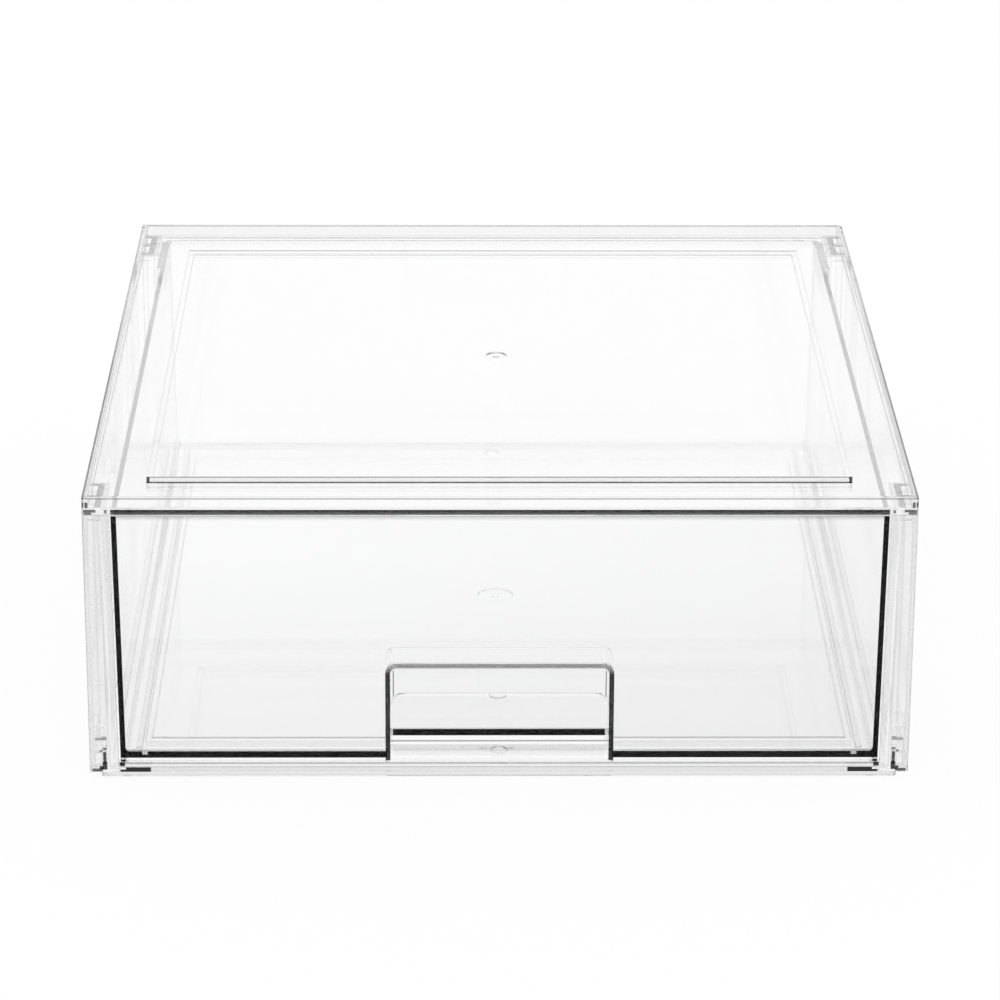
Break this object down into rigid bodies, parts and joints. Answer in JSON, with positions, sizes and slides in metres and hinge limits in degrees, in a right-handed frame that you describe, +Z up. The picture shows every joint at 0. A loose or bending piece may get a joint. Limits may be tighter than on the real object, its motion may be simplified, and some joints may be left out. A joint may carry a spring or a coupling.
{
  "type": "stackable drawer box",
  "caption": "Clear storage box with a full-width sliding drawer; its rimmed top takes the foot of the next box, and a finger pocket behind a lip pulls the drawer.",
  "frame": {"origin": "middle of the footprint, on the surface that the foot ring stands on", "axes": "+Z up, -Y out of the front, where the drawer opens, +X to the right seen from the front"},
  "size_m": [0.32, 0.351, 0.1177],
  "materials": {
    "clear_casing": "clear glossy moulded plastic",
    "clear_drawer": "clear glossy moulded plastic"
  },
  "bodies": {
    "casing": {"top_panel": "clear_casing", "base_panel": "clear_casing", "left_side_panel": "clear_casing", "right_side_panel": "clear_casing", "back_panel": "clear_casing"},
    "drawer": {"drawer": "clear_drawer"}
  },
  "joints": [
    {"name": "drawer_slide", "type": "slide", "parent": "casing", "child": "drawer", "axis": [0, -1, 0], "range_m": [0, 0.3]}
  ]
}
